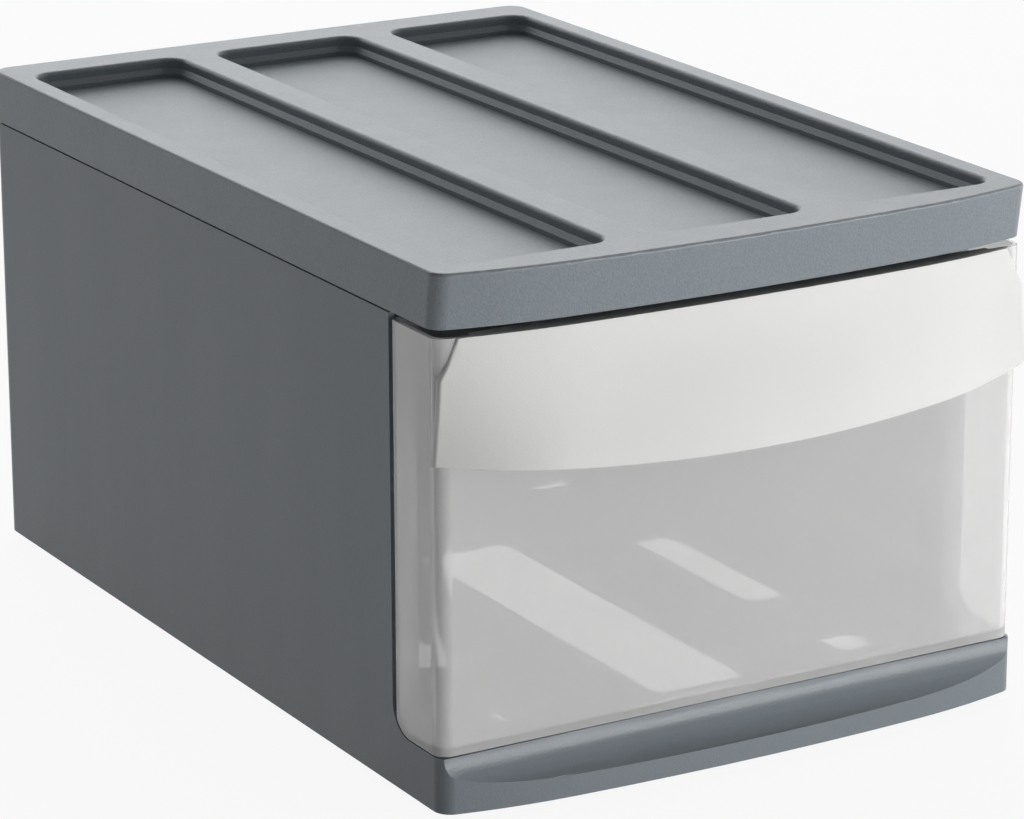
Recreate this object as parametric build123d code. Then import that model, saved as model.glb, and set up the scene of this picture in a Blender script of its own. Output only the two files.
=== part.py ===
from build123d import *
import os

# Stackable drawer box for crafts and small parts: a moulded casing that is open at the front, a
# top cover with three long trays, and a clear drawer with a frosted pull over its front.
# All sizes are in millimetres. X runs across the width, the drawer opens towards -Y, Z is up.
# The origin is on the table, under the middle of the whole box.

# ---------------------------------------------------------------- casing
casing_width = 250.0            # outside of the two side walls
casing_depth = 374.8            # front corners of the base to the two bands of the rear wall
casing_height = 178.2           # lower edge of the skirt to the seam under the cover
casing_wall = 2.4
wall_setback = 35.0             # side walls end this far behind the front corners
opening_radius = 12.0           # round corner where a side wall runs into the sill
front_corner_radius = 7.0
rear_corner_radius = 8.0
front_bow = 10.3                # how far the middle of the front bulges past its corners
bow_shoulder = 0.6              # where the flat middle of the bow ends, as a share of the half width
bow_fullness = 0.77             # how much of the bow is left there
sill_height = 20.8              # skirt's lower edge to the top of the sill
sill_depth = 12.0               # the sill's flat top, front corners to its rear edge
cove_radius = 13.0              # hollow along the sill's front
cove_bite = 1.6                 # how far the hollow's middle bites in behind the front corners
cove_end_bite = 0.8             # and how far its two ends do
floor_thickness = 2.2
glide_height = 4.0              # ribs on the casing floor that the drawer slides on
glide_width = 3.0
glide_places = (45.0, 97.0)     # each rib's distance from the middle, on both sides
rear_set_in = 1.3               # rear wall lies this far in between its two bands
rear_top_band = 13.0
rear_bottom_band = 12.0
seam_groove_depth = 0.8         # shadow line round the walls, just under the cover
seam_groove_height = 1.0

# windows in the casing floor, measured back from the front corners
middle_window = (24.0, 182.0, 40.8)             # start, length, width
side_windows = ((27.0, 19.0), (91.0, 88.0), (253.0, 19.0))     # start and length of each
side_window_width = 19.5
side_window_shift = 9.0         # towards the middle from the centre line of the outer tray
window_radius = 5.0

# ribs under the casing floor
keel_thickness = 1.8
keel_clearance = 2.0            # above the skirt's lower edge
cross_rib_depth = 3.0
cross_ribs = (14.0, 216.0, 300.0)       # measured back from the front corners

# stacking feet
foot_height = 4.0               # below the skirt
front_foot_length = 78.0        # the front feet frame the front windows
rear_foot_length = 40.0
foot_wall = 2.0
foot_radius = 7.0
foot_clearance = 1.0            # to the lower walls of a tray in the cover below

# ---------------------------------------------------------------- cover
cover_height = 20.8             # seam to the rim
cover_overhang = 0.5            # the cover stands this far outside of the side walls
cover_rear_inset = 1.0          # and this far in front of the rear bands
cover_wall = 2.4
cover_front_draft = 3.1         # the front leans back by this much down to the seam
cover_edge_radius = 1.2
border_side = 9.8               # flat border beside the outer trays
border_front = 9.0
border_rear = 19.0
tray_rib = 16.7                 # flat rib between two trays
tray_radius = 8.0
tray_ledge_depth = 4.0          # rim down to the ledge in the tray's wall
tray_ledge_width = 1.5
tray_depth = 8.0
tray_floor = 2.2
locating_rib = 1.8              # rib inside the casing's top edge that holds the cover in place
locating_rise = 6.0             # above the seam
locating_drop = 5.0             # below the seam
locating_gap = 0.3

# ---------------------------------------------------------------- drawer
drawer_wall = 2.0
drawer_floor = 2.2
drawer_lift = 0.3               # above the glide ribs
drawer_front_inset = 1.0        # front face behind the front corners of the casing
drawer_corner_radius = 6.0
shoulder_gap = 0.6              # drawer's shoulder to the front edges of the side walls
rim_drop = 3.0                  # rim below the seam
tub_side_gap = 6.4              # tub to the inside of a side wall
tub_rear_gap = 3.3              # tub to the inside of the rear wall
tub_corner_radius = 14.0
tub_edge_radius = 10.0
flange_gap = 0.8                # rim flange to the locating rib inside of the casing's top edge
flange_thickness = 2.0
catch_width = 24.0              # catches on the tub's rear that stop the drawer
catch_place = 60.0              # from the middle
catch_thickness = 3.0
catch_rise = 7.0                # above the rim
stop_setback = 75.0             # stops under the cover, measured back from the front corners
stop_thickness = 2.4
stop_gap = 0.5                  # left between catch and stop at full travel

# ---------------------------------------------------------------- pull
pull_wall = 1.8
pull_top_inset = 8.0            # its top ends this far inside of the casing's sides
pull_top_reach = 7.0            # middle of its front past the casing's front corners, at the rim
pull_neck_inset = 4.0           # its ends slope out to here, then steeper to the shoulder
pull_neck_reach = 8.8
pull_neck_drop = 9.0            # below the rim
pull_shoulder_inset = 0.7
pull_shoulder_reach = 10.1
pull_shoulder_drop = 14.6
pull_crease_inset = 0.1
pull_crease_reach = 12.6
pull_crease_drop = 24.6
pull_foot_overhang = 2.2        # its lower edge flares this far outside of the casing's sides
pull_reach = 20.2               # and this far past the front corners in the middle
pull_middle_drop = 52.2         # lowest point of its lower edge, below the rim
pull_end_drop = 45.1            # ends of its lower edge
pull_wrap = 2.6                 # its ends reach this far behind the front corners
pull_corner_radius = 1.4
pull_rear_radius = 0.5
pull_gap = 0.15
hook_width = 220.0              # part of the pull's top that hooks over the drawer's front
hook_wall = 1.6
hook_drop = 6.0
hook_side_gap = 0.3

# ---------------------------------------------------------------- places
front_y = (pull_reach - casing_depth) / 2       # line through the front corners of the base
rear_y = front_y + casing_depth
skirt_z = foot_height
sill_z = skirt_z + sill_height
floor_z = sill_z - glide_height                 # top of the casing floor
seam_z = skirt_z + casing_height
top_z = seam_z + cover_height
past = 20.0                                     # how far a cut runs on outside of the part
near_enough = 0.01                              # tolerance for finding a corner by its place

casing_half = casing_width / 2
casing_inner_half = casing_half - casing_wall
wall_front_y = front_y + wall_setback
rear_inner_y = rear_y - rear_set_in - casing_wall

cover_half = casing_half + cover_overhang
cover_rear_y = rear_y - cover_rear_inset
tray_width = (2 * cover_half - 2 * border_side - 2 * tray_rib) / 3
tray_pitch = tray_width + tray_rib
tray_front_y = front_y + border_front
tray_rear_y = cover_rear_y - border_rear
tray_floor_z = top_z - tray_depth

drawer_z = sill_z + drawer_lift
drawer_front_y = front_y + drawer_front_inset
shoulder_y = wall_front_y - shoulder_gap
rim_z = seam_z - rim_drop
tub_half = casing_inner_half - tub_side_gap
tub_rear_y = rear_inner_y - tub_rear_gap
locating_half = cover_half - cover_wall - locating_gap          # outside of the locating rib
locating_rear_y = cover_rear_y - cover_wall - locating_gap
flange_half = locating_half - locating_rib - flange_gap
flange_rear_y = locating_rear_y - locating_rib - flange_gap
stop_y = front_y + stop_setback + stop_thickness        # rear face of the stops
drawer_travel = tub_rear_y - catch_thickness - stop_y - stop_gap


# ---------------------------------------------------------------- shared shapes
def block(x_range, y_range, z_range):
    """A box given by its limits on each axis."""
    size = [limits[1] - limits[0] for limits in (x_range, y_range, z_range)]
    centre = [(limits[0] + limits[1]) / 2 for limits in (x_range, y_range, z_range)]
    return Pos(*centre) * Box(*size)


def bow_line(half_width, corner_y, reach):
    """The bowed front line of an outline: a flat middle arc that tightens towards both corners."""
    middle = (0, corner_y - reach)
    shoulder = (half_width * bow_shoulder, corner_y - reach * bow_fullness)
    flat_arc = TangentArc(middle, shoulder, tangent=(1, 0))
    end_arc = TangentArc(shoulder, (half_width, corner_y), tangent=flat_arc % 1)
    right_half = [flat_arc, end_arc]
    left_half = [mirror(arc, about=Plane.YZ) for arc in right_half]
    return right_half + left_half


def round_corners(face, half_width, y, radius):
    """The same face with its left and right corners at this y rounded."""
    corners = []
    for corner in face.vertices():
        if abs(abs(corner.X) - half_width) < near_enough and abs(corner.Y - y) < near_enough:
            corners.append(corner)
    return fillet(corners, radius)


def bowed_outline(half_width, corner_y, back_y, reach, front_radius, back_radius):
    """A plan outline with a bowed front, straight sides and a straight back."""
    sides = Polyline(
        (half_width, corner_y), (half_width, back_y), (-half_width, back_y), (-half_width, corner_y)
    )
    face = make_face(bow_line(half_width, corner_y, reach) + [sides])
    face = round_corners(face, half_width, back_y, back_radius)
    return round_corners(face, half_width, corner_y, front_radius)


def straight_outline(half_width, near_y, back_y, front_radius, back_radius):
    """A plan outline with four straight sides."""
    face = Pos(0, (near_y + back_y) / 2) * Rectangle(2 * half_width, back_y - near_y)
    face = round_corners(face, half_width, back_y, back_radius)
    return round_corners(face, half_width, near_y, front_radius)


def tray_block(x, inset, low_z, high_z):
    """The upright block inside one tray's outline, inset (or outset) all round."""
    width = tray_width - 2 * inset
    length = tray_rear_y - tray_front_y - 2 * inset
    centre_y = (tray_front_y + tray_rear_y) / 2
    outline = RectangleRounded(width, length, tray_radius - inset)
    return extrude(Pos(x, centre_y, low_z) * outline, high_z - low_z)


def side_view_block(near_y, far_y, low_z, high_z, radius, half_width):
    """A block across the part whose lower rear edge is rounded, as the opening's corners are."""
    outline = Pos((near_y + far_y) / 2, (low_z + high_z) / 2) * Rectangle(far_y - near_y, high_z - low_z)
    far_corners = outline.vertices().group_by(Axis.X)[-1]
    outline = fillet(far_corners.sort_by(Axis.Y)[0], radius)
    return extrude(Plane.YZ * outline, half_width, both=True)


tray_places = (-tray_pitch, 0.0, tray_pitch)


# ---------------------------------------------------------------- casing
def sill_cove():
    """The long hollow that is cut along the sill's front, deepest in the middle."""
    end_x = casing_half + past
    sagitta_at_end = (cove_bite - cove_end_bite) * (end_x / casing_half) ** 2
    axis_y = front_y + cove_bite - cove_radius
    path = ThreePointArc(
        (-end_x, axis_y - sagitta_at_end, sill_z),
        (0, axis_y, sill_z),
        (end_x, axis_y - sagitta_at_end, sill_z),
    )
    section = Plane(origin=path @ 0, z_dir=path % 0) * Circle(cove_radius)
    return sweep(section, path)


def seam_groove():
    """The shallow groove round the outside of the walls at their top edge."""
    core = bowed_outline(
        casing_half - seam_groove_depth,
        front_y + seam_groove_depth,
        rear_y - seam_groove_depth,
        front_bow,
        front_corner_radius - seam_groove_depth,
        rear_corner_radius - seam_groove_depth,
    )
    around = Pos(0, (front_y + rear_y) / 2) * Rectangle(casing_width + past, casing_depth + 2 * past)
    return extrude(Pos(Z=seam_z - seam_groove_height) * (around - core), seam_groove_height)


def casing_shell():
    """Base, side walls and rear wall, open at the front and top, and hollow under the floor."""
    plan = bowed_outline(
        casing_half, front_y, rear_y, front_bow, front_corner_radius, rear_corner_radius
    )
    shell = extrude(Pos(Z=skirt_z) * plan, casing_height)
    shell -= side_view_block(
        front_y - past, wall_front_y, sill_z, seam_z + past, opening_radius, casing_width
    )
    shell -= block(
        (-casing_inner_half, casing_inner_half),
        (front_y + sill_depth, rear_inner_y),
        (floor_z, seam_z + past),
    )
    shell -= sill_cove()

    hollow = bowed_outline(
        casing_inner_half,
        front_y + casing_wall,
        rear_inner_y,
        front_bow,
        front_corner_radius - casing_wall,
        rear_corner_radius - casing_wall,
    )
    lip_z = sill_z - cove_radius - casing_wall
    shell -= extrude(Pos(Z=skirt_z - past) * hollow, past + lip_z - skirt_z)
    deep = extrude(Pos(Z=skirt_z - past) * hollow, past + floor_z - floor_thickness - skirt_z)
    shell -= deep & block(
        (-casing_half, casing_half),
        (front_y + cove_bite + casing_wall, rear_y),
        (skirt_z - past, sill_z),
    )

    shell -= block(
        (-casing_width, casing_width),
        (rear_y - rear_set_in, rear_y + past),
        (skirt_z + rear_bottom_band, seam_z - rear_top_band),
    )
    return shell - seam_groove()


def floor_windows():
    """Light openings in the casing floor: one in the middle and a row under each outer tray."""
    windows = [(0.0, middle_window[0], middle_window[1], middle_window[2])]
    for side in (-1, 1):
        x = side * (tray_pitch - side_window_shift)
        for start, length in side_windows:
            windows.append((x, start, length, side_window_width))
    cuts = []
    for x, start, length, width in windows:
        outline = Pos(x, front_y + start + length / 2) * RectangleRounded(width, length, window_radius)
        cuts.append(extrude(Pos(Z=floor_z - floor_thickness / 2) * outline, floor_thickness, both=True))
    return cuts


def glide_ribs():
    """Ribs along the casing floor, level with the sill, that carry the drawer."""
    ribs = []
    for place in glide_places:
        for x in (-place, place):
            ribs.append(
                block(
                    (x - glide_width / 2, x + glide_width / 2),
                    (front_y + sill_depth, rear_inner_y),
                    (floor_z - floor_thickness / 2, sill_z),
                )
            )
    return ribs


def stacking_feet():
    """Four open frames that drop into the outer trays of the box below."""
    inset = tray_ledge_width + foot_clearance
    width = tray_width - 2 * inset
    front_place = tray_front_y + inset + front_foot_length / 2
    rear_place = tray_rear_y - inset - rear_foot_length / 2
    feet = []
    for x in (-tray_pitch, tray_pitch):
        for y, length in ((front_place, front_foot_length), (rear_place, rear_foot_length)):
            frame = RectangleRounded(width, length, foot_radius)
            frame -= RectangleRounded(
                width - 2 * foot_wall, length - 2 * foot_wall, foot_radius - foot_wall
            )
            feet.append(extrude(Pos(x, y) * frame, floor_z - floor_thickness / 2))
    return feet


def keels():
    """Stiffening ribs under the floor: two deep ones along the box and low ones across it."""
    low_z = skirt_z + keel_clearance
    high_z = floor_z - floor_thickness / 2
    ribs = []
    for x in (-tray_pitch / 2, tray_pitch / 2):
        limits = (x - keel_thickness / 2, x + keel_thickness / 2)
        near_y = front_y + cove_bite + casing_wall
        ribs.append(block(limits, (near_y, rear_inner_y + casing_wall / 2), (low_z, high_z)))
    reach = casing_half - casing_wall / 2
    low_z = floor_z - floor_thickness - cross_rib_depth
    for place in cross_ribs:
        limits = (front_y + place, front_y + place + keel_thickness)
        ribs.append(block((-reach, reach), limits, (low_z, high_z)))
    return ribs


def locating_ribs():
    """The rib inside the top edge of the side and rear walls that centres the cover."""
    near_y = wall_front_y + opening_radius
    corner = rear_corner_radius - cover_wall
    outer = straight_outline(locating_half, near_y, locating_rear_y, locating_rib / 2, corner)
    ring = extrude(Pos(Z=seam_z - locating_drop) * outer, locating_drop + locating_rise)
    return ring - block(
        (-locating_half + locating_rib, locating_half - locating_rib),
        (near_y - past, locating_rear_y - locating_rib),
        (seam_z - past, seam_z + past),
    )


def casing():
    """The whole casing in one moulding."""
    body = casing_shell()
    for rib in glide_ribs() + keels():
        body += rib
    for window in floor_windows():
        body -= window
    for foot in stacking_feet():
        body += foot
    body += locating_ribs()
    return body


# ---------------------------------------------------------------- top cover
def cover_stops():
    """Two small stops under the cover that catch the drawer before it comes right out."""
    stops = []
    for x in (-catch_place, catch_place):
        across = (x - catch_width / 2, x + catch_width / 2)
        upright = (seam_z, tray_floor_z - tray_floor / 2)
        stops.append(block(across, (stop_y - stop_thickness, stop_y), upright))
    return stops


def top_cover():
    """The cover: a drafted skirt, a flat top and three long trays with a ledge in their walls."""
    def level(inset, z, draft):
        """The cover's outline at one height."""
        face = bowed_outline(
            cover_half - inset,
            front_y + draft + inset,
            cover_rear_y - inset,
            front_bow,
            front_corner_radius - inset,
            rear_corner_radius - inset,
        )
        return Pos(Z=z) * face

    plate_z = top_z - cover_wall
    draft_at_plate = cover_front_draft * cover_wall / cover_height
    cover = loft([level(0, seam_z, cover_front_draft), level(0, top_z, 0)], ruled=True)
    hollow_below = level(cover_wall, seam_z, cover_front_draft)
    hollow_above = level(cover_wall, plate_z, draft_at_plate)
    hollow = loft([hollow_below, hollow_above], ruled=True)
    for x in tray_places:
        hollow -= tray_block(x, -tray_floor, tray_floor_z - tray_floor, top_z)
    cover = fillet(cover.edges().group_by(Axis.Z)[-1], cover_edge_radius) - hollow
    for x in tray_places:
        tray = tray_block(x, 0, top_z - tray_ledge_depth, top_z)
        tray += tray_block(x, tray_ledge_width, tray_floor_z, top_z)
        cover -= tray
    for stop in cover_stops():
        cover += stop
    return cover


# ---------------------------------------------------------------- drawer
def front_bay(inset, low_z, high_z):
    """The wide part of the drawer in front of the side walls, inset all round for its inside."""
    face = straight_outline(
        casing_half - inset,
        drawer_front_y + inset,
        shoulder_y - inset,
        drawer_corner_radius - inset,
        drawer_corner_radius / 2 - inset / 2,
    )
    bay = extrude(Pos(Z=low_z) * face, high_z - low_z)
    return bay & side_view_block(
        drawer_front_y, shoulder_y - inset, low_z, high_z, opening_radius - inset, casing_half
    )


def tub(inset, low_z):
    """The part of the drawer between the side walls, inset all round for its inside."""
    half_width = tub_half - inset
    near_y = drawer_front_y + past
    far_y = tub_rear_y - inset
    outline = Pos(0, (near_y + far_y) / 2, low_z) * Rectangle(2 * half_width, far_y - near_y)
    outline = round_corners(outline, half_width, far_y, tub_corner_radius - inset)
    body = extrude(outline, rim_z - low_z)
    bottom_edges = body.edges().group_by(Axis.Z)[0].sort_by(Axis.Y)
    return fillet(bottom_edges[1:], tub_edge_radius - inset)


def drawer():
    """The clear drawer: front bay, tub, rim flange and the two catches at its rear."""
    outside = front_bay(0, drawer_z, rim_z) + tub(0, drawer_z)
    flange = straight_outline(
        flange_half, shoulder_y - drawer_wall, flange_rear_y, flange_thickness / 2, tub_corner_radius
    )
    outside += extrude(Pos(Z=rim_z - flange_thickness) * flange, flange_thickness)
    inside_z = drawer_z + drawer_floor
    shell = outside - front_bay(drawer_wall, inside_z, rim_z + past) - tub(drawer_wall, inside_z)
    shell -= block(
        (-hook_width / 2 - hook_side_gap, hook_width / 2 + hook_side_gap),
        (drawer_front_y - past, drawer_front_y + past),
        (rim_z - pull_wall, rim_z + past),
    )
    for x in (-catch_place, catch_place):
        across = (x - catch_width / 2, x + catch_width / 2)
        upright = (rim_z - catch_rise, rim_z + catch_rise)
        shell += block(across, (tub_rear_y - catch_thickness, tub_rear_y), upright)
    return shell


# ---------------------------------------------------------------- pull
def pull_body(inset, top_z_cut):
    """The flared hood of the pull, or its inside, which runs out through the open rear."""
    levels = (
        (pull_middle_drop, -pull_foot_overhang, pull_reach),
        (pull_crease_drop, pull_crease_inset, pull_crease_reach),
        (pull_shoulder_drop, pull_shoulder_inset, pull_shoulder_reach),
        (pull_neck_drop, pull_neck_inset, pull_neck_reach),
        (0.0, pull_top_inset, pull_top_reach),
    )
    faces = []
    for drop, side_inset, reach in levels:
        face = bowed_outline(
            casing_half - side_inset - inset,
            front_y + inset,
            front_y + pull_wrap + 2 * inset,
            reach,
            pull_corner_radius,
            pull_rear_radius,
        )
        faces.append(Pos(Z=rim_z - drop) * face)
    hood = loft(faces, ruled=True)
    return hood & block((-casing_width, casing_width), (front_y - past, front_y + past), (0, top_z_cut))


def pull():
    """The frosted pull: a hood that hooks over the drawer's front, open below for the fingers."""
    hood = pull_body(0, rim_z)
    hood -= pull_body(pull_wall, rim_z - pull_wall)
    drawer_space = straight_outline(
        casing_half + pull_gap,
        drawer_front_y,
        shoulder_y,
        drawer_corner_radius + pull_gap,
        drawer_corner_radius / 2,
    )
    hood -= extrude(Pos(Z=drawer_z) * drawer_space, casing_height)

    left_end = (-casing_half, -pull_end_drop)
    right_end = (casing_half, -pull_end_drop)
    drooping_edge = ThreePointArc(left_end, (0, -pull_middle_drop), right_end)
    span = casing_width
    around = Polyline(
        right_end, (span, -pull_end_drop), (span, past), (-span, past), (-span, -pull_end_drop), left_end
    )
    seen_from_front = Plane.XZ * make_face([drooping_edge, around])
    hood &= extrude(Pos(0, front_y, rim_z) * seen_from_front, casing_depth, both=True)

    across = (-hook_width / 2, hook_width / 2)
    hook_y = drawer_front_y + drawer_wall
    hook = block(across, (drawer_front_y, hook_y + hook_wall), (rim_z - pull_wall, rim_z))
    hook += block(across, (hook_y, hook_y + hook_wall), (rim_z - hook_drop, rim_z))
    return hood + hook


# ---------------------------------------------------------------- write the pieces
os.makedirs("parts", exist_ok=True)
pieces = {
    "casing": casing(),
    "top_cover": top_cover(),
    "drawer": drawer(),
    "drawer_pull": pull(),
}
for name, shape in pieces.items():
    shape.label = name
    export_step(shape, f"parts/{name}.step")
print("drawer travel", round(drawer_travel, 2), "seam", seam_z, "rim", rim_z, "top", top_z)
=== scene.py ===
import math

import bmesh
import bpy
from mathutils import Euler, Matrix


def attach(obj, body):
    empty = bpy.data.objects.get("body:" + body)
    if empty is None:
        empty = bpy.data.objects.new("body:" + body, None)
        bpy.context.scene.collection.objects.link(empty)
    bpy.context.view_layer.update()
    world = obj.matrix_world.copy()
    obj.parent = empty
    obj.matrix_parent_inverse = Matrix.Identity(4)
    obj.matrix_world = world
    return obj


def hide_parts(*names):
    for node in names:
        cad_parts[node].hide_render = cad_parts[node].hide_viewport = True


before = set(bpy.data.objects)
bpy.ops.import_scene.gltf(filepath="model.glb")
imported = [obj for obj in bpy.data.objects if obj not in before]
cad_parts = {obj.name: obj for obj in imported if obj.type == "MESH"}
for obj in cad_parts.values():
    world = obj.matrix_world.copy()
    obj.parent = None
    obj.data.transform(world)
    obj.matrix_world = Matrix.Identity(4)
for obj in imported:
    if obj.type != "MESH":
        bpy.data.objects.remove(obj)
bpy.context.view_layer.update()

# ------------------------------------------------------------------ studio
# A white table that runs out of sight and a surround that is bright behind and to the right of
# the box and dark on the camera's side. Softboxes overhead and behind, strips low at the front.
floor_size = 14.0
table_grey = 0.55
white_to_camera = 0.92         # share of plain white in what the camera sees of the table
white_in_gloss = 0.85          # the same for what shows in a glossy surface
bright_side = (0.75, 0.45, -0.50)
dimmest_surround = 0.16
brightest_surround = 1.15
floor_mesh = bpy.data.meshes.new("studio_floor")
bm = bmesh.new()
bmesh.ops.create_grid(bm, x_segments=1, y_segments=1, size=floor_size / 2)
bm.to_mesh(floor_mesh)
bm.free()
floor = bpy.data.objects.new("studio_floor", floor_mesh)
bpy.context.scene.collection.objects.link(floor)

table_white = bpy.data.materials.new("table_white")
table_white.use_nodes = True
nodes = table_white.node_tree.nodes
links = table_white.node_tree.links
surface = nodes["Principled BSDF"]
surface.inputs["Base Color"].default_value = (table_grey, table_grey, table_grey, 1.0)
surface.inputs["Roughness"].default_value = 0.7
surface.inputs["Specular IOR Level"].default_value = 0.2
glow = nodes.new("ShaderNodeEmission")
glow.inputs["Color"].default_value = (1.0, 1.0, 1.0, 1.0)
glow.inputs["Strength"].default_value = 1.0
light_path = nodes.new("ShaderNodeLightPath")
seen_directly = nodes.new("ShaderNodeMath")
seen_directly.operation = "MULTIPLY"
seen_directly.inputs[1].default_value = white_to_camera
dimmed_in_gloss = nodes.new("ShaderNodeMath")
dimmed_in_gloss.operation = "MULTIPLY"
dimmed_in_gloss.inputs[1].default_value = white_in_gloss
seen_in_gloss = nodes.new("ShaderNodeMath")
seen_in_gloss.operation = "MAXIMUM"
seen_through = nodes.new("ShaderNodeMath")
seen_through.operation = "MAXIMUM"
blend = nodes.new("ShaderNodeMixShader")
links.new(light_path.outputs["Is Camera Ray"], seen_directly.inputs[0])
links.new(light_path.outputs["Is Glossy Ray"], dimmed_in_gloss.inputs[0])
links.new(dimmed_in_gloss.outputs[0], seen_in_gloss.inputs[0])
links.new(seen_directly.outputs[0], seen_in_gloss.inputs[1])
links.new(light_path.outputs["Is Transmission Ray"], seen_through.inputs[0])
links.new(seen_in_gloss.outputs[0], seen_through.inputs[1])
links.new(seen_through.outputs[0], blend.inputs["Fac"])
links.new(surface.outputs["BSDF"], blend.inputs[1])
links.new(glow.outputs["Emission"], blend.inputs[2])
links.new(blend.outputs["Shader"], nodes["Material Output"].inputs["Surface"])
floor_mesh.materials.append(table_white)

world = bpy.data.worlds.new("studio_surround")
bpy.context.scene.world = world
world.use_nodes = True
nodes = world.node_tree.nodes
links = world.node_tree.links
surround = nodes["Background"]
light_path = nodes.new("ShaderNodeLightPath")
direction = nodes.new("ShaderNodeTexCoord")
towards_bright = nodes.new("ShaderNodeVectorMath")
towards_bright.operation = "DOT_PRODUCT"
towards_bright.inputs[1].default_value = bright_side
shading = nodes.new("ShaderNodeMapRange")
shading.interpolation_type = "SMOOTHSTEP"
shading.inputs["From Min"].default_value = -0.60
shading.inputs["From Max"].default_value = 0.55
shading.inputs["To Min"].default_value = dimmest_surround
shading.inputs["To Max"].default_value = brightest_surround
white_or_shaded = nodes.new("ShaderNodeMath")
white_or_shaded.operation = "MAXIMUM"
links.new(direction.outputs["Generated"], towards_bright.inputs[0])
links.new(towards_bright.outputs["Value"], shading.inputs["Value"])
links.new(shading.outputs["Result"], white_or_shaded.inputs[0])
links.new(light_path.outputs["Is Camera Ray"], white_or_shaded.inputs[1])
links.new(white_or_shaded.outputs[0], surround.inputs["Strength"])
surround.inputs["Color"].default_value = (1.0, 1.0, 1.0, 1.0)


def softbox(name, place, width, height, power, tint):
    """A rectangular area light that faces the middle of the box."""
    lamp = bpy.data.lights.new(name, "AREA")
    lamp.shape = "RECTANGLE"
    lamp.size = width
    lamp.size_y = height
    lamp.energy = power
    lamp.color = tint
    holder = bpy.data.objects.new(name, lamp)
    bpy.context.scene.collection.objects.link(holder)
    holder.location = place
    aim = -holder.location
    holder.rotation_euler = aim.to_track_quat("-Z", "Y").to_euler()
    holder.visible_camera = False
    return holder


neutral = (1.0, 1.0, 1.0)
daylight = (0.92, 0.96, 1.0)
softbox(
    "softbox_overhead", (0.5, 1.6, 1.9), width=1.8, height=1.8, power=12.0, tint=neutral
)
softbox(
    "softbox_behind", (0.5, 2.6, 1.4), width=4.2, height=2.0, power=25.0, tint=daylight
)
softbox("strip_front", (0.9, -2.0, 0.10), width=1.8, height=0.16, power=22.0, tint=neutral)
softbox(
    "strip_right_front", (0.95, -1.05, 0.10), width=1.9, height=0.18, power=8.0, tint=neutral
)

# ------------------------------------------------------------------ camera
# A long lens from the front left, a little above the box, as in the photograph.
camera = bpy.data.cameras.new("camera")
camera.sensor_width = 36.0
camera.lens = 154.07
camera.clip_start = 0.1
camera.clip_end = 50.0
camera_holder = bpy.data.objects.new("camera", camera)
bpy.context.scene.collection.objects.link(camera_holder)
camera_holder.location = (-0.8299, -1.4365, 0.5992)
camera_holder.rotation_euler = Euler(
    (math.radians(72.884), math.radians(0.163), math.radians(-30.304)), "XYZ"
)
bpy.context.scene.camera = camera_holder
bpy.context.scene.view_settings.view_transform = "Standard"

# ------------------------------------------------------------------ casing
# One moulding in anthracite polypropylene, open at the front and the top. Its outside has a
# fine spark-eroded grain, and every edge has the small round that the mould leaves.


def moulded_copy(
    node_name, piece_name, body, edge_round, segments, soft_edges=(), reshape=None
):
    """The CAD node's own shape with its edges rounded, some of them more softly than the rest.

    Each soft edge is given as a test for an edge, the width of its rounding and its steps. A
    reshape function, if there is one, works on the mesh before anything is rounded.
    """
    merge_distance = 2e-6
    flat_angle = math.radians(0.4)
    sharp_angle = math.radians(32.0)
    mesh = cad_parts[node_name].data.copy()
    mesh.name = piece_name
    mesh.materials.clear()
    bm = bmesh.new()
    bm.from_mesh(mesh)
    bmesh.ops.remove_doubles(bm, verts=bm.verts, dist=merge_distance)
    if reshape:
        reshape(bm)
    bmesh.ops.dissolve_limit(
        bm,
        angle_limit=flat_angle,
        verts=bm.verts,
        edges=bm.edges,
        delimit={"NORMAL"},
    )
    for is_soft, width, steps in soft_edges:
        bmesh.ops.bevel(
            bm,
            geom=[edge for edge in bm.edges if is_soft(edge)],
            offset=width,
            segments=steps,
            profile=0.5,
            affect="EDGES",
            clamp_overlap=False,
            material=-1,
        )
    for face in bm.faces:
        face.smooth = True
    bm.to_mesh(mesh)
    bm.free()
    piece = bpy.data.objects.new(piece_name, mesh)
    bpy.context.scene.collection.objects.link(piece)
    rounding = piece.modifiers.new("edge_round", "BEVEL")
    rounding.width = edge_round
    rounding.segments = segments
    rounding.limit_method = "ANGLE"
    rounding.angle_limit = sharp_angle
    rounding.miter_outer = "MITER_ARC"
    rounding.use_clamp_overlap = True
    shading = piece.modifiers.new("even_shading", "WEIGHTED_NORMAL")
    shading.mode = "FACE_AREA_WITH_ANGLE"
    shading.keep_sharp = True
    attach(piece, body)
    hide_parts(node_name)
    return piece


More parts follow.
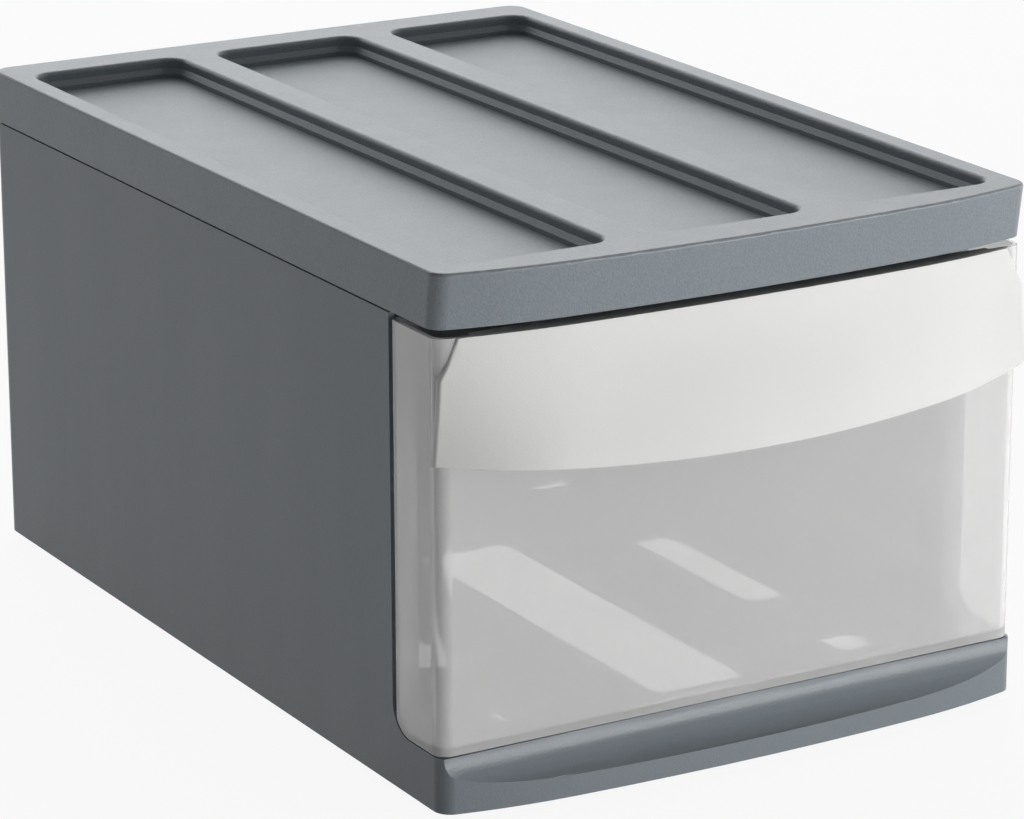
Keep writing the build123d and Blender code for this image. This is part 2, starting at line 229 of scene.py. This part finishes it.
def grain_group():
    """The skin that a spark-eroded mould gives: fine pits, flow clouds and faint rub marks."""
    group = bpy.data.node_groups.new("moulded_grain", "ShaderNodeTree")
    for name, kind, value in (
        ("Colour", "NodeSocketColor", (0.5, 0.5, 0.5, 1.0)),
        ("Roughness", "NodeSocketFloat", 0.5),
        ("Grain Size", "NodeSocketFloat", 0.0004),
        ("Grain Depth", "NodeSocketFloat", 0.3),
        ("Cloud", "NodeSocketFloat", 0.06),
        ("Speckle", "NodeSocketFloat", 0.08),
    ):
        socket = group.interface.new_socket(name, in_out="INPUT", socket_type=kind)
        socket.default_value = value
    group.interface.new_socket("Colour", in_out="OUTPUT", socket_type="NodeSocketColor")
    group.interface.new_socket("Roughness", in_out="OUTPUT", socket_type="NodeSocketFloat")
    group.interface.new_socket("Normal", in_out="OUTPUT", socket_type="NodeSocketVector")
    n = group.nodes
    link = group.links.new
    given = n.new("NodeGroupInput")
    result = n.new("NodeGroupOutput")
    place = n.new("ShaderNodeTexCoord")

    pits_per_metre = n.new("ShaderNodeMath")
    pits_per_metre.operation = "DIVIDE"
    pits_per_metre.inputs[0].default_value = 1.0
    link(given.outputs["Grain Size"], pits_per_metre.inputs[1])
    pits = n.new("ShaderNodeTexNoise")
    pits.inputs["Detail"].default_value = 2.0
    pits.inputs["Roughness"].default_value = 0.6
    link(place.outputs["Object"], pits.inputs["Vector"])
    link(pits_per_metre.outputs[0], pits.inputs["Scale"])
    bump = n.new("ShaderNodeBump")
    bump.inputs["Distance"].default_value = 0.0002
    link(given.outputs["Grain Depth"], bump.inputs["Strength"])
    link(pits.outputs["Fac"], bump.inputs["Height"])
    link(bump.outputs["Normal"], result.inputs["Normal"])

    clouds = n.new("ShaderNodeTexNoise")
    clouds.inputs["Scale"].default_value = 9.0
    clouds.inputs["Detail"].default_value = 3.0
    link(place.outputs["Object"], clouds.inputs["Vector"])
    darker = n.new("ShaderNodeMapRange")
    darker.inputs["From Min"].default_value = 0.3
    darker.inputs["From Max"].default_value = 0.7
    darker.inputs["To Max"].default_value = 1.0
    least = n.new("ShaderNodeMath")
    least.operation = "SUBTRACT"
    least.inputs[0].default_value = 1.0
    link(given.outputs["Cloud"], least.inputs[1])
    link(least.outputs[0], darker.inputs["To Min"])
    link(clouds.outputs["Fac"], darker.inputs["Value"])
    tinted = n.new("ShaderNodeMix")
    tinted.data_type = "RGBA"
    tinted.blend_type = "MULTIPLY"
    tinted.inputs["Factor"].default_value = 1.0
    link(given.outputs["Colour"], tinted.inputs["A"])
    link(darker.outputs["Result"], tinted.inputs["B"])

    centred = n.new("ShaderNodeMath")
    centred.operation = "SUBTRACT"
    centred.inputs[1].default_value = 0.5
    link(pits.outputs["Fac"], centred.inputs[0])
    spread = n.new("ShaderNodeMath")
    spread.operation = "MULTIPLY_ADD"
    spread.inputs[2].default_value = 1.0
    link(centred.outputs[0], spread.inputs[0])
    link(given.outputs["Speckle"], spread.inputs[1])
    speckled = n.new("ShaderNodeMix")
    speckled.data_type = "RGBA"
    speckled.blend_type = "MULTIPLY"
    speckled.inputs["Factor"].default_value = 1.0
    link(tinted.outputs["Result"], speckled.inputs["A"])
    link(spread.outputs[0], speckled.inputs["B"])
    link(speckled.outputs["Result"], result.inputs["Colour"])

    stretch = n.new("ShaderNodeMapping")
    stretch.inputs["Scale"].default_value = (60.0, 60.0, 9.0)
    link(place.outputs["Object"], stretch.inputs["Vector"])
    rubs = n.new("ShaderNodeTexNoise")
    rubs.inputs["Scale"].default_value = 1.0
    rubs.inputs["Detail"].default_value = 4.0
    link(stretch.outputs["Vector"], rubs.inputs["Vector"])
    rub_amount = n.new("ShaderNodeMapRange")
    rub_amount.inputs["From Min"].default_value = 0.35
    rub_amount.inputs["From Max"].default_value = 0.75
    rub_amount.inputs["To Min"].default_value = 0.012
    rub_amount.inputs["To Max"].default_value = -0.018
    link(rubs.outputs["Fac"], rub_amount.inputs["Value"])
    rubbed = n.new("ShaderNodeMath")
    rubbed.operation = "ADD"
    link(given.outputs["Roughness"], rubbed.inputs[0])
    link(rub_amount.outputs["Result"], rubbed.inputs[1])
    link(rubbed.outputs[0], result.inputs["Roughness"])
    return group


moulded_grain = grain_group()


def grained_material(name, colour, roughness, grain_size, grain_depth, cloud, speckle):
    """A Principled material whose colour, roughness and normal come from the moulded grain."""
    material = bpy.data.materials.new(name)
    material.use_nodes = True
    tree = material.node_tree
    grain = tree.nodes.new("ShaderNodeGroup")
    grain.node_tree = moulded_grain
    grain.inputs["Colour"].default_value = (*colour, 1.0)
    grain.inputs["Roughness"].default_value = roughness
    grain.inputs["Grain Size"].default_value = grain_size
    grain.inputs["Grain Depth"].default_value = grain_depth
    grain.inputs["Cloud"].default_value = cloud
    grain.inputs["Speckle"].default_value = speckle
    surface = tree.nodes["Principled BSDF"]
    tree.links.new(grain.outputs["Colour"], surface.inputs["Base Color"])
    tree.links.new(grain.outputs["Roughness"], surface.inputs["Roughness"])
    tree.links.new(grain.outputs["Normal"], surface.inputs["Normal"])
    return material, surface


anthracite = (0.145, 0.169, 0.188)
casing_skin, surface = grained_material(
    "anthracite_casing",
    anthracite,
    roughness=0.40,
    grain_size=0.0008,
    grain_depth=0.40,
    cloud=0.04,
    speckle=0.25,
)
surface.inputs["IOR"].default_value = 1.49
casing = moulded_copy(
    "casing", "casing_shell", "box", edge_round=0.0004, segments=2
)
casing.data.materials.append(casing_skin)

# ------------------------------------------------------------------ top cover
# A separate moulding that drops over the casing's locating rib. It is the walls' anthracite
# with painted light: its colour is a shade lighter for the light the cover catches, and it is a
# little shinier. The mouths of its three trays are well rounded.


rim_height = 0.203
ledge_height = 0.199
ledge_lean = 0.0022


def lies_at(edge, height):
    """Whether the edge runs level at this height and its two faces meet at a sharp angle."""
    least_angle = math.radians(50.0)
    level = all(abs(corner.co.z - height) < 1e-5 for corner in edge.verts)
    return level and len(edge.link_faces) == 2 and edge.calc_face_angle() > least_angle


def is_tray_rim(edge):
    """Whether the edge is part of the mouth of a tray."""
    return lies_at(edge, rim_height)


def lean_tray_ledges(bm):
    """Lower the inner edge of the ledge in each tray's wall, so the ledge leans inwards."""
    inner_corners = []
    for corner in bm.verts:
        around = [edge.other_vert(corner) for edge in corner.link_edges]
        on_ledge = abs(corner.co.z - ledge_height) < 1e-5
        if on_ledge and any(other.co.z < ledge_height - 0.001 for other in around):
            inner_corners.append(corner)
    for corner in inner_corners:
        corner.co.z -= ledge_lean


# painted light: the walls' anthracite made a shade lighter, so the cover reads as more brightly
# lit
anthracite_painted_lighter = (0.176, 0.203, 0.224)
cover_skin, surface = grained_material(
    "anthracite_cover",
    anthracite_painted_lighter,
    roughness=0.38,
    grain_size=0.0009,
    grain_depth=0.80,
    cloud=0.04,
    speckle=0.40,
)
surface.inputs["IOR"].default_value = 1.5
rim_round = 0.0018
rim_steps = 4
cover = moulded_copy(
    "top_cover",
    "tray_cover",
    "box",
    edge_round=0.0003,
    segments=2,
    soft_edges=((is_tray_rim, rim_round, rim_steps),),
    reshape=lean_tray_ledges,
)
cover.data.materials.append(cover_skin)

# ------------------------------------------------------------------ drawer
# A clear tub in milky polypropylene, smooth on both faces. It is seen through twice: the front
# window first, then its floor and side walls. Its floor runs up into the front in a soft curve.


drawer_floor_height = 0.0273
behind_drawer_front = -0.170
foot_round = 0.0020
foot_steps = 3


def is_inner_front_foot(edge):
    """Whether the edge runs where the drawer's floor meets the inside of its front."""
    near_front = all(corner.co.y < behind_drawer_front for corner in edge.verts)
    return near_front and lies_at(edge, drawer_floor_height)


milky = (1.0, 0.998, 0.995)
clear_skin, surface = grained_material(
    "milky_clear",
    milky,
    roughness=0.012,
    grain_size=0.006,
    grain_depth=0.0,
    cloud=0.02,
    speckle=0.0,
)
surface.inputs["IOR"].default_value = 1.50
surface.inputs["Transmission Weight"].default_value = 0.66
drawer = moulded_copy(
    "drawer",
    "clear_drawer",
    "drawer_unit",
    edge_round=0.0003,
    segments=2,
    soft_edges=((is_inner_front_foot, foot_round, foot_steps),),
)
drawer.data.materials.append(clear_skin)

# ------------------------------------------------------------------ pull
# A frosted hood in translucent white polypropylene, hooked over the drawer's front. Its lower
# edge flares out for the fingers, and light comes faintly through it.
frosted = (0.72, 0.72, 0.708)
frosted_skin, surface = grained_material(
    "frosted_pull",
    frosted,
    roughness=0.42,
    grain_size=0.0006,
    grain_depth=0.25,
    cloud=0.02,
    speckle=0.04,
)
surface.inputs["IOR"].default_value = 1.49
surface.inputs["Transmission Weight"].default_value = 0.22
pull = moulded_copy(
    "drawer_pull", "frosted_pull", "drawer_unit", edge_round=0.0003, segments=2
)
pull.data.materials.append(frosted_skin)
